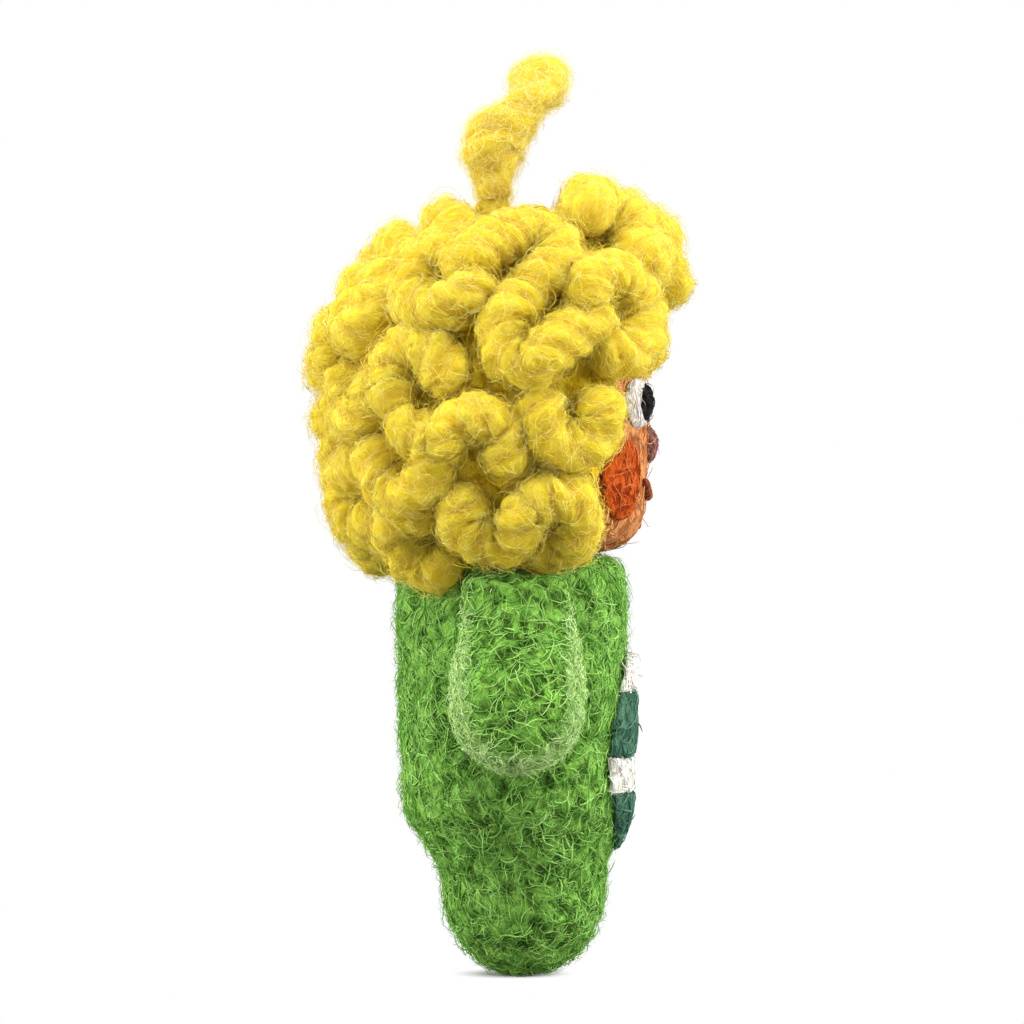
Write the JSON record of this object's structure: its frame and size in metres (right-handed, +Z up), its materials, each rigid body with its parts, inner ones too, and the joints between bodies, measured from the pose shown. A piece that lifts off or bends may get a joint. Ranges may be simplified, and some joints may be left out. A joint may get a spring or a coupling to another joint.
{
  "type": "felt doll ornament",
  "caption": "Hand-felted wool doll ornament with a tapered body, flap arms, a striped belly pad, a wig of yarn curls and a yarn loop on the crown to hang it by.",
  "frame": {"origin": "the point under the top of the hanging loop where a hook bears", "axes": "+Z up, the doll faces -Y, and its right arm is on the -X side"},
  "size_m": [0.0568, 0.0529, 0.1258],
  "materials": {
    "body_felt": "needle-felted wool, leaf green",
    "arm_felt": "needle-felted wool, leaf green with a light rim",
    "core_wool": "undyed carded wool",
    "head_felt": "needle-felted wool, warm brown",
    "cheek_felt": "needle-felted wool, orange",
    "eye_felt": "needle-felted wool, off-white",
    "pupil_felt": "needle-felted wool, black",
    "nose_felt": "needle-felted wool, dark mauve",
    "mouth_yarn": "thin wool yarn, russet",
    "teal_felt": "needle-felted wool, teal",
    "cream_felt": "needle-felted wool, cream",
    "cap_felt": "thin felt, golden yellow",
    "hair_yarn": "thick soft twisted yarn, yellow",
    "loop_yarn": "thick soft twisted yarn, yellow"
  },
  "bodies": {
    "loop": {"hanging_loop": "loop_yarn"},
    "doll": {"body": "body_felt", "body_core": "core_wool", "loop_root": "loop_yarn", "head": "head_felt", "right_eye_white": "eye_felt", "right_pupil": "pupil_felt", "right_cheek": "cheek_felt", "left_eye_white": "eye_felt", "left_pupil": "pupil_felt", "left_cheek": "cheek_felt", "nose": "nose_felt", "mouth": "mouth_yarn", "belly_stripe_lower_teal": "teal_felt", "belly_stripe_mid_cream": "cream_felt", "belly_stripe_upper_teal": "teal_felt", "belly_stripe_top_cream": "cream_felt", "hair_cap": "cap_felt", "hair_right_temple": "hair_yarn", "hair_left_temple": "hair_yarn", "hair_right_upper_side": "hair_yarn", "hair_left_upper_side": "hair_yarn", "hair_right_mid_side": "hair_yarn", "hair_left_mid_side": "hair_yarn", "hair_right_mid_front": "hair_yarn", "hair_left_mid_front": "hair_yarn", "hair_right_low_rear": "hair_yarn", "hair_left_low_rear": "hair_yarn", "hair_right_low_front": "hair_yarn", "hair_left_low_front": "hair_yarn", "hair_right_mid_back": "hair_yarn", "hair_left_mid_back": "hair_yarn", "hair_right_low_mid": "hair_yarn", "hair_left_low_mid": "hair_yarn", "hair_right_low_side": "hair_yarn", "hair_left_low_side": "hair_yarn", "hair_right_low_back": "hair_yarn", "hair_left_low_back": "hair_yarn", "hair_right_crown_front": "hair_yarn", "hair_left_crown_front": "hair_yarn", "hair_right_fringe": "hair_yarn", "hair_left_fringe": "hair_yarn", "hair_right_crown_mid": "hair_yarn", "hair_left_crown_mid": "hair_yarn", "hair_right_crown_side": "hair_yarn", "hair_left_crown_side": "hair_yarn", "hair_right_upper_back": "hair_yarn", "hair_left_upper_back": "hair_yarn", "hair_right_back_side": "hair_yarn", "hair_left_back_side": "hair_yarn", "hair_right_back_low": "hair_yarn", "hair_left_back_low": "hair_yarn", "hair_crown_back": "hair_yarn", "hair_back_upper": "hair_yarn", "hair_back_mid": "hair_yarn", "hair_nape": "hair_yarn", "hair_parting": "hair_yarn"},
    "right_arm": {"right_arm": "arm_felt"},
    "left_arm": {"left_arm": "arm_felt"}
  },
  "joints": [
    {"name": "doll_swing", "type": "hinge", "parent": "loop", "child": "doll", "pos_m": [0, 0.0062, -0.01064], "axis": [1, 0, 0], "range_deg": [-25, 50]},
    {"name": "right_arm_lift", "type": "hinge", "parent": "doll", "child": "right_arm", "pos_m": [-0.02139, 0.0029, -0.06534], "axis": [0, 1, 0], "range_deg": [0, 75]},
    {"name": "left_arm_lift", "type": "hinge", "parent": "doll", "child": "left_arm", "pos_m": [0.02139, 0.0029, -0.06534], "axis": [0, -1, 0], "range_deg": [0, 75]}
  ]
}
